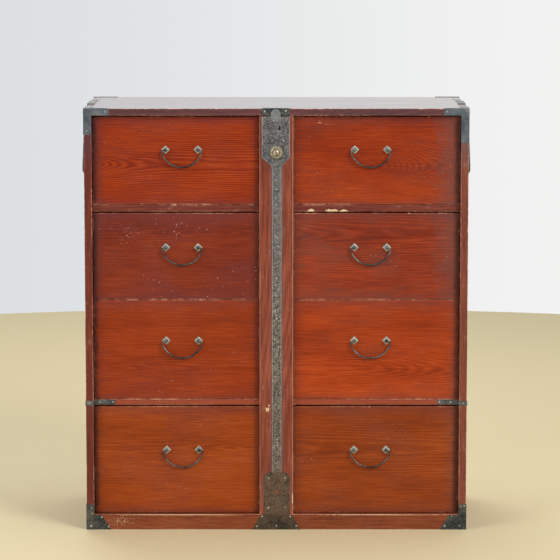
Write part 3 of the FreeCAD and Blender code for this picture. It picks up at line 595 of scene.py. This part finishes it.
# Drawers: each front is its own board with its own figure. Boxes are bare wood behind them.
# Hearts of the growth rings are set so that the top left front shows arcs at its left, as the real one.
drawers = {}
painted_shadow, plum, ash = shades((44, 18, 16), (104, 52, 54), (110, 72, 66))
mist_shades = {"left": (112, 54, 56), "right": (112, 66, 56)}
for row, heart_x, heart_z, pith_lean, haze, border, tones, gains, patches in (
    (
        "top", 0.48, -0.012, (0.3, 0.10), 0.42, (0.026, 0.5),
        ((112, 30, 2), (148, 47, 4), (174, 69, 18)), (0.99, 0.975),
        {"right": [(0.112, 1.0735, 0.008, 0.0009, 3.0, 0.5), (0.135, 1.070, 0.022, 0.0004, 2.0, 0.3)]},
    ),
    (
        "second", 0.16, 0.06, (0.12, 0.15), 0.8, (0.026, 0.4),
        ((86, 23, 8), (122, 42, 17), (152, 62, 32)), (0.98, 1.1),
        {"left": [(-0.392, 0.777, 0.062, 0.050, 8.0, -1.35)]},
    ),
    (
        "third", 0.50, -0.05, (0.12, 0.15), 0.4, (0.012, 0.25),
        ((116, 36, 4), (152, 54, 11), (178, 74, 28)), (0.95, 1.04), {},
    ),
    (
        "bottom", 0.05, 0.03, (0.12, 0.15), 0.45, (0.012, 0.25),
        ((112, 41, 5), (145, 60, 12), (168, 79, 28)), (1.03, 0.98), {},
    ),
):
    wide, strength = border
    box_heart = (0.1, 0.7, heart_z)
    box_wood = wood(f"{row}_box_wood", "X", box_heart, raw_tones, gloss=0.6, coat=0.0, haze=0.0, specks=0.2)
    for side, sign, gain, shift in (("right", 1, gains[1], 0.03), ("left", -1, gains[0], 0.0)):
        name = f"{row}_{side}"
        low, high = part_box(f"{name}_front")
        heart = (sign * (heart_x - 5 * shift), low.y - shift, (low.z + high.z) / 2 + heart_z)
        edges = [("X", low.x), ("X", high.x), ("Y", low.y), ("Z", low.z), ("Z", high.z)]
        # Bands along each front's ends: plum and ash tints, and umber painted shadow beside the posts and the
        # bar, whose shade falls on the recessed fronts.
        bands = {
            "left": [
                ("X", low.x, wide, strength, plum), ("X", low.x, 0.011, 0.75, painted_shadow),
                ("X", high.x, 0.010, 0.3, painted_shadow),
            ],
            "right": [
                ("X", low.x, 0.008, 0.3, painted_shadow), ("X", high.x, 2.5 * wide, 1.2 * strength, ash),
                ("X", high.x, 0.014, 0.6, painted_shadow),
            ],
        }[side]
        bands += [("Z", low.z, 0.012, 0.25, plum), ("Z", high.z, 0.024, 0.25, plum)]
        front_tones = shades(*([value * gain for value in tone] for tone in tones))
        front_wood = wood(
            f"{name}_lacquer", "X", heart, front_tones, edges, patches.get(side, ()), lean=pith_lean,
            haze=haze, mist_shade=mist_shades[side], specks=1.4 if name == "second_left" else 0.9,
            scuffs=0.06, figure=0.14 if name == "top_left" else 0.08, bands=bands,
        )
        dress(f"{name}_front", front_wood, 0.0005)
        dress(f"{name}_box", box_wood, 0)
        drawers[name] = (low, high)


# Bails and their eye posts. A bail is drawn out thin at its tips, which turn in through the eyes.
# Each post stands on a diamond washer, and its two ends are clinched inside the drawer.
post_spacing, bail_y = 0.0845, -0.2170
bail_tones = shades((50, 44, 42), (82, 77, 75), (126, 122, 120))
bail_rust = srgb(60, 46, 38)
bail_iron = old_iron("bail_iron", bail_tones, bail_rust, 9.0, 0.25, 0.8, 0.27, mottle=0.4, relief=0.2)
washer_tones = shades((108, 112, 106), (163, 168, 160), (208, 210, 202))
washer_iron = old_iron("washer_iron", washer_tones, srgb(110, 98, 74), 2.0, 0.4, 0.35, 0.42)
tip, reach, side_bend, drop = 0.006, 0.05095, 0.027, 0.0452
across, down = reach - side_bend, drop - tip
foot_bend = (across ** 2 + down ** 2 - side_bend ** 2) / (2 * (down - side_bend))
turn = math.degrees(math.atan2(down - foot_bend, across))
stations = [(reach - tip - inward, 0, upright) for inward in (0.0078, 0.004, 0.0)]
stations += arc((reach - tip, -tip), tip, 90, 0, 6) + arc((across, -tip), side_bend, 0, turn, 7)
stations += arc((0, foot_bend - drop), foot_bend, turn, -90, 10)
stations += [(-x, z, math.pi - a) for x, z, a in reversed(stations[:-1])]
first_bail = rod(stations, lambda x, up: Vector((x, bail_y, up)), Vector((0, -1, 0)), 0.0024, 0.0018, 12)
first_bail.name = "first_bail"

washers, eyes = [], []
half_diagonal, box_face_y = 0.016 / math.sqrt(2), -0.1895
for x in (-post_spacing / 2, post_spacing / 2):
    rings = []
    for height, share in (
        (0.0, 1.0), (0.0008, 1.0), (0.0013, 0.93), (0.0017, 0.82), (0.0018, 0.4), (0.0018, 0.28),
    ):
        size = half_diagonal * share
        rings.append((Vector((x, recess_y - height, 0)), Vector((size, 0, 0)), Vector((0, 0, size))))
    washers.append(skin(rings, 4))
    loop = []
    for index in range(21):
        a = 2 * math.pi * index / 20
        away = Vector((0, math.cos(a), math.sin(a)))
        loop.append((Vector((x, bail_y, 0)) + away * 0.0039, away * 0.00095, Vector((0.0024, 0, 0))))
    eyes.append(skin(loop, 10, ends=False))
    shank = [
        (Vector((x, y, 0)), Vector((radius, 0, 0)), Vector((0, 0, radius))) for y, radius in (
            (bail_y + 0.0034, 0.0024), (recess_y - 0.0028, 0.0028), (recess_y - 0.001, 0.0036),
            (recess_y + 0.004, 0.0026), (box_face_y, 0.0021), (box_face_y + 0.0015, 0.0018),
        )
    ]
    eyes.append(skin(shank, 10))
    for sign in (-1, 1):
        leg = [
            (Vector((x + sign * along, box_face_y + y, 0)), Vector((0, thick, 0)), Vector((0, 0, wide)))
            for along, y, thick, wide in (
                (0.0, 0.0004, 0.0006, 0.0022), (0.002, 0.0009, 0.0006, 0.0022),
                (0.0045, 0.0006, 0.0005, 0.0019), (0.0062, 0.0002, 0.0002, 0.0009),
            )
        ]
        eyes.append(skin(leg, 8))
first_washers = joined(washers)
first_washers.name = "first_washers"
first_eyes = joined(eyes)
first_eyes.name = "first_eyes"
rises = {"top": 0.028, "second": 0.0234, "third": 0.0235, "bottom": 0.0263}
for name, (low, high) in drawers.items():
    row, side = name.split("_")
    centre_x = math.copysign(0.2465, low.x)
    move = Matrix.Translation((centre_x, 0, (low.z + high.z) / 2 + rises[row]))
    for first, kind, body, material, slot in (
        (first_bail, "pull_bail", "pull", bail_iron, "dark_iron"),
        (first_washers, "washers", "drawer", washer_iron, "bright_iron"),
        (first_eyes, "eyes", "drawer", bail_iron, "bright_iron"),
    ):
        bpy.context.view_layer.objects.active = copied(first, move)
        piece = fresh(f"{name}_{kind}", material, f"{name}_{body}")
        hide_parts(f"{name}_bail" if kind == "pull_bail" else f"{name}_posts")
for first in (first_bail, first_washers, first_eyes):
    bpy.data.objects.remove(first)


# Locking bar: an upright board with a chased iron strap from its head plate to its foot plate.
# The strap and head plate are dense sheets, cut with a scrolling vine and a border line.
bar_iron_y = front_y - 0.0015
bar_half, bar_low, bar_high = 0.044, 0.0413, 1.0915
rubbed_edge, iron_stain = shades((216, 160, 138), (104, 84, 90))
bar_wood = wood(
    "bar_lacquer", "Z", (0.12, -0.5, 0.5), shades((102, 44, 28), (137, 68, 47), (166, 93, 72)),
    [("X", bar_half), ("X", -bar_half), ("Y", front_y), ("Z", bar_high), ("Z", bar_low)],
    [
        (-0.0232, 0.321, 0.0045, 0.0055, 8.0, 1.0), (-0.0188, 0.332, 0.0020, 0.0022, 6.0, 0.8),
        (0.0425, 0.084, 0.0012, 0.017, 2.0, 0.9),
    ],
    ring=0.006, lean=(0.06, 0.3), haze=0.55, scuffs=0.4, bands=[
        ("X", -0.0114, 0.007, 0.4, iron_stain), ("X", 0.0134, 0.007, 0.4, iron_stain),
        ("Z", 0.105, 0.045, 0.45, srgb(112, 80, 66)),
        ("X", bar_half, 0.0017, 0.7, rubbed_edge), ("X", -bar_half, 0.0017, 0.5, rubbed_edge),
    ],
)
dress("bar_board", bar_wood, 0.0005)
bar_iron_tones = shades((52, 48, 42), (107, 98, 87), (172, 164, 152))
bar_iron = old_iron("bar_iron", bar_iron_tones, srgb(94, 72, 50), 1.0, 0.4, 0.55, mottle=0.9, cool=0.45)
head_tones = shades((52, 51, 56), (90, 90, 92), (144, 144, 144))
head_iron = old_iron("head_iron", head_tones, srgb(92, 72, 70), 7.0, 0.3, 0.6, 0.42)
tongue_tones = shades((84, 88, 92), (116, 120, 123), (158, 162, 162))
tongue_iron = old_iron("tongue_iron", tongue_tones, srgb(92, 78, 66), 27.0, 0.3, 0.6, 0.42)
foot_tones = shades((42, 34, 28), (88, 73, 58), (142, 124, 104))
foot_iron = old_iron("foot_iron", foot_tones, srgb(90, 62, 42), 4.0, 0.7, 0.5, 0.5)
dress("bar_foot_plate", foot_iron, 0.0004)
dress("bar_tongue", tongue_iron, 0.0006)


def vine(x0, low, high, swing, pitch, curl):
    """Points along a scrolling stem, with a curl in each of its bends."""
    points = []
    steps = int((high - low) / 0.0005)
    for index in range(steps + 1):
        z = low + (high - low) * index / steps
        points.append((x0 + swing * math.sin(2 * math.pi * (z - low) / pitch), z))
    bends = int((high - low) / pitch * 2)
    for bend in range(bends):
        sign = -1 if bend % 2 else 1
        middle_x, middle_z = x0 - sign * swing * 0.35, low + pitch / 4 + pitch / 2 * bend
        for index in range(140):
            share = index / 139
            radius = curl * (1 - 0.86 * share)
            a = math.radians(-100) + sign * -2 * math.pi * 1.45 * share
            points.append((middle_x + sign * radius * math.cos(a) * 0.9, middle_z + radius * math.sin(a)))
    return points


def chased(low, high, width_at, cells_across, grooves, depth=0.0006, reach=0.0012):
    """An iron sheet on the bar's face, from a dense grid. Each row is as wide as width_at says, and the
    face sinks along the grooves and a border line. Its back is closed flat."""
    clear_start()
    rows = int((high - low) / 0.00075)
    bpy.ops.mesh.primitive_grid_add(x_subdivisions=cells_across, y_subdivisions=rows, size=1)
    piece = bpy.context.object
    tree = kdtree.KDTree(len(grooves))
    for index, (x, z) in enumerate(grooves):
        tree.insert((x, z, 0), index)
    tree.balance()
    marks = []
    for vertex in piece.data.vertices:
        z = low + (high - low) * (vertex.co.y + 0.5)
        left, right = width_at(z)
        x = left + (right - left) * (vertex.co.x + 0.5)
        away = tree.find((x, z, 0))[2]
        border = abs(min(x - left, right - x) - 0.0040)
        sunk = max(0.0, 1 - min(away, border) / reach)
        # Marks are positive along the grooves and negative near the rim, where the iron gets a painted
        # highlight.
        marks.append(sunk or -min(1.0, max(0.0, 2 - min(x - left, right - x) / 0.0014)))
        edge = min(x - left, right - x, 0.0006) / 0.0006
        vertex.co = (x, bar_iron_y + depth * sunk * (2 - sunk) + 0.0004 * (1 - edge) ** 2, z)
    piece.data.attributes.new("chasing_and_rim_highlight", "FLOAT", "POINT").data.foreach_set("value", marks)
    bpy.ops.object.mode_set(mode="EDIT")
    bpy.ops.mesh.select_all(action="SELECT")
    bpy.ops.mesh.region_to_loop()
    bpy.ops.mesh.extrude_region_move(TRANSFORM_OT_translate={"value": (0, 0.0013, 0)})
    bpy.ops.mesh.edge_face_add()
    bpy.ops.mesh.select_all(action="SELECT")
    bpy.ops.mesh.normals_make_consistent(inside=False)
    bpy.ops.object.mode_set(mode="OBJECT")
    bpy.ops.object.shade_smooth_by_angle(angle=math.radians(50))
    return piece


def cut(piece, cutter):
    """Takes a cutter away from a piece for good."""
    hole = piece.modifiers.new("hole", "BOOLEAN")
    hole.object = cutter
    clear_start()
    bpy.context.view_layer.objects.active = piece
    piece.select_set(True)
    bpy.ops.object.modifier_apply(modifier="hole")
    bpy.data.objects.remove(cutter)


strap_x, strap_half, strap_low, strap_high = 0.0010, 0.0124, 0.1543, 0.9610
head_x, head_half, shoulder_z, head_high = -0.0015, 0.0362, 0.9850, bar_high
strap_sides = (strap_x - strap_half, strap_x + strap_half)
head_sides = (head_x - head_half, head_x + head_half)
stem = vine(strap_x, strap_low, strap_high, 0.0040, 0.050, 0.0058)
chased(strap_low, strap_high, lambda z: strap_sides, 32, stem)
piece = fresh("strap_chased", bar_iron, "lock_bar")
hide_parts("bar_strap")


def head_width(z):
    """The head plate narrows to the strap with its corners a little eased."""
    share = min(max((shoulder_z - z) / (shoulder_z - strap_high), 0), 1)
    wide = 0.75 * (1 - share) + 0.125 * (1 + math.cos(math.pi * share))
    return tuple(a + (b - a) * wide for a, b in zip(strap_sides, head_sides))


boss_z = 0.9985
ring_line = 0.0215
grooves = vine(-0.023, shoulder_z, 1.0885, 0.0045, 0.050, 0.0080)
grooves += vine(0.019, shoulder_z, 1.0885, -0.0045, 0.050, 0.0080)
grooves += vine(-0.002, 1.022, 1.0885, 0.003, 0.033, 0.0050)
for degrees in range(360):
    a = math.radians(degrees)
    grooves.append((ring_line * math.cos(a), boss_z + ring_line * math.sin(a)))
head = chased(strap_high, head_high, head_width, 96, grooves)
key_x, key_z, well_radius = 0.008, 1.0585, 0.0087
cut(head, turned((0, bar_iron_y, boss_z), [(well_radius, -0.004), (well_radius, 0.004)], 64))
cut(head, turned((key_x, bar_iron_y, key_z), [(0.0025, -0.004), (0.0025, 0.004)], 32))
slit_low = (key_x - 0.0016, bar_iron_y - 0.004, key_z)
cut(head, board(slit_low, (key_x + 0.0016, bar_iron_y + 0.004, 1.067), 0.0002))
bpy.context.view_layer.objects.active = head
piece = fresh("head_chased", head_iron, "lock_bar")
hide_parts("bar_head_plate")

places = [(x, bar_iron_y, z, "front") for x, z in (
    (0.0190, 1.0285), (0.0002, 0.902), (0.0008, 0.860), (0.0000, 0.777), (0.0008, 0.669), (0.0006, 0.563),
    (0.0010, 0.463), (0.0012, 0.362), (0.0014, 0.241), (0.0012, 0.168), (-0.0205, 0.138), (0.0225, 0.138),
    (-0.021, 0.0585), (0.0225, 0.059),
)]
tongue_y = bar_iron_y - 0.0014
nails("bar_nails", places + [(-0.001, tongue_y, 1.0865, "front")], "lock_bar", nail_iron)
head_nail_tones = shades((84, 86, 86), (122, 124, 122), (164, 166, 160))
head_nail_iron = old_iron("head_nail_iron", head_nail_tones, srgb(92, 78, 64), 29.0, 0.3, 0.5, 0.4)
nails("head_nails", [(x, bar_iron_y, z, "front") for x, z in (
    (-0.0235, 1.028), (-0.0300, 1.079), (0.0255, 1.080), (-0.0245, 0.990), (0.0195, 0.989), (0.0004, 0.966),
)], "lock_bar", head_nail_iron)


# Lock: a turned brass ring with low petals round the push button. Case and bolt keep their CAD shape.
# The button's neck and its sloped cam reach into the lock case, where the cam lifts the bolt.
def old_brass(name, tones, tarnish, seed):
    """Brass mottled light and dark, with patches of brown tarnish."""
    material, tree, shader, place = new_material(name)
    place = vectors(tree, "ADD", place, (seed, seed, seed))
    broad = noise(tree, place, 60.0, 3.0, 0.6)
    close = noise(tree, place, 420.0, 4.0, 0.65)
    dark, body, light = tones
    tone = maths(tree, "MULTIPLY_ADD", close, 0.6, maths(tree, "MULTIPLY", broad, 0.4))
    colour = ramp(tree, tone, (0.36, dark), (0.5, body), (0.64, light))
    colour = blend(tree, between(tree, broad, 0.5, 0.68, 0.0, 0.55), colour, tarnish)
    tree.links.new(colour, shader.inputs["Base Color"])
    shader.inputs["Metallic"].default_value = 0.85
    tree.links.new(between(tree, close, 0.3, 0.7, 0.26, 0.5), shader.inputs["Roughness"])
    bumps(tree, shader, (broad, 0.0004), (close, 0.00015))
    return material


brass_tones = shades((88, 82, 68), (146, 138, 116), (206, 200, 180))
ring_brass = old_brass("ring_brass", brass_tones, srgb(104, 100, 90), 0.0)
ring_profile = [
    (well_radius, 0.0), (0.0175, 0.0), (0.0175, 0.0012), (0.0171, 0.0019), (0.0165, 0.0023), (0.0159, 0.0019),
    (0.0154, 0.0012), (0.0148, 0.0013), (0.0140, 0.0015), (0.0131, 0.0015), (0.0121, 0.0013),
    (0.0114, 0.0011), (0.0109, 0.0017), (0.0103, 0.0022), (0.0095, 0.0022), (0.0090, 0.0018),
]
ring = turned((0, bar_iron_y, boss_z), ring_profile, 160, closed=True)
for vertex in ring.data.vertices:
    x, z = vertex.co.x, vertex.co.z - boss_z
    radius = math.hypot(x, z)
    if 0.0112 < radius < 0.0156:
        petal = abs(math.sin(8 * math.atan2(z, x)))
        middle = 1 - abs(radius - 0.0134) / 0.0022
        vertex.co.y += 0.0009 * (1 - petal) * max(middle, 0) ** 0.5
piece = fresh("rosette_ring", ring_brass, "lock_bar")
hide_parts("lock_rosette")

button_tones = shades((100, 86, 70), (150, 136, 112), (212, 200, 176))
button_brass = old_brass("button_brass", button_tones, srgb(104, 88, 70), 2.0)
button_profile = [
    (0.0040, -0.0138), (0.0040, 0.0), (0.0078, 0.0), (0.0083, 0.0004), (0.0085, 0.0012), (0.0085, 0.0050),
    (0.0082, 0.0058), (0.0075, 0.0064), (0.0066, 0.0062), (0.0060, 0.0058), (0.0052, 0.0060),
    (0.0043, 0.0067), (0.0030, 0.0072), (0.0014, 0.0074), (0.0004, 0.0074),
]
knob = turned((0, bar_iron_y, boss_z), button_profile, 48)
low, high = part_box("lock_button")
cam_half, cam_slope, cam_front = 0.0045, 1.5, high.y - 0.0064
cam = board((-cam_half, cam_front, boss_z), (cam_half, high.y, high.z), 0.0003)
for vertex in cam.data.vertices:
    if vertex.co.z > boss_z + 0.003:
        vertex.co.z -= cam_slope * (vertex.co.y - cam_front)
joined([knob, cam])
piece = fresh("push_button", button_brass, "button")
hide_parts("lock_button")
lock_iron = old_iron("lock_iron", iron_tones, srgb(80, 62, 46), 11.0, 0.6, 0.7, 0.45)
dress("lock_case", lock_iron, 0)
dress("lock_bolt", lock_iron, 0.0004)


# Stage: a plain pale floor, with soft light from the front right, a dim one from the left, one overhead
# and one behind. The air round it is dim as a light, but pale to what looks at it or mirrors it.
material, _, shader, _ = new_material("studio_floor")
shader.inputs["Base Color"].default_value = srgb(232, 216, 172)
shader.inputs["Roughness"].default_value = 0.7
clear_start()
bpy.ops.mesh.primitive_circle_add(vertices=128, radius=4.0, fill_type="NGON")
stage = bpy.context.object
stage.name = "floor"
stage.data.materials.append(material)

for name, place, aim, size, power in (
    ("key", (3.6, -4.4, 3.4), (0.0, 0.0, 0.6), 2.6, 250.0),
    ("fill", (-4.0, -3.8, 2.4), (0.0, 0.0, 0.5), 2.6, 120.0),
    ("overhead", (0.0, 0.8, 4.6), (0.0, 0.8, 0.0), 3.4, 90.0),
    ("rear", (-1.5, 4.4, 5.2), (0.0, 0.0, 0.6), 3.0, 95.0),
):
    bpy.ops.object.light_add(type="AREA", location=place)
    lamp = bpy.context.object
    lamp.name = name
    lamp.rotation_euler = (Vector(aim) - Vector(place)).to_track_quat("-Z", "Y").to_euler()
    lamp.data.size = size
    lamp.data.energy = power
world = bpy.data.worlds.new("studio_air")
world.use_nodes = True
air = world.node_tree
rays = add(air, "ShaderNodeLightPath").outputs
seen = maths(air, "MAXIMUM", rays["Is Glossy Ray"], rays["Is Transmission Ray"])
seen = maths(air, "MAXIMUM", seen, rays["Is Camera Ray"])
across = split(air, add(air, "ShaderNodeTexCoord").outputs["Generated"])[0]
pale = blend(air, between(air, across, -0.12, 0.12), srgb(219, 223, 226), srgb(243, 243, 242))
air.links.new(pale, air.nodes["Background"].inputs[0])
air.links.new(between(air, seen, 0.0, 1.0, 0.15, 1.0), air.nodes["Background"].inputs[1])
bpy.context.scene.world = world


# Camera, where the photograph was taken from: 7.8 m in front and 1.64 m up, looking 7.4 degrees down.
# Its long lens keeps the sides nearly hidden.
bpy.ops.object.camera_add(location=(0.0096, -7.7925, 1.644), rotation=(math.radians(82.62), 0, 0))
camera = bpy.context.object
camera.data.lens = 187.8
camera.data.sensor_width = 36
camera.data.clip_end = 60
bpy.context.scene.camera = camera
bpy.context.scene.view_settings.view_transform = "Standard"
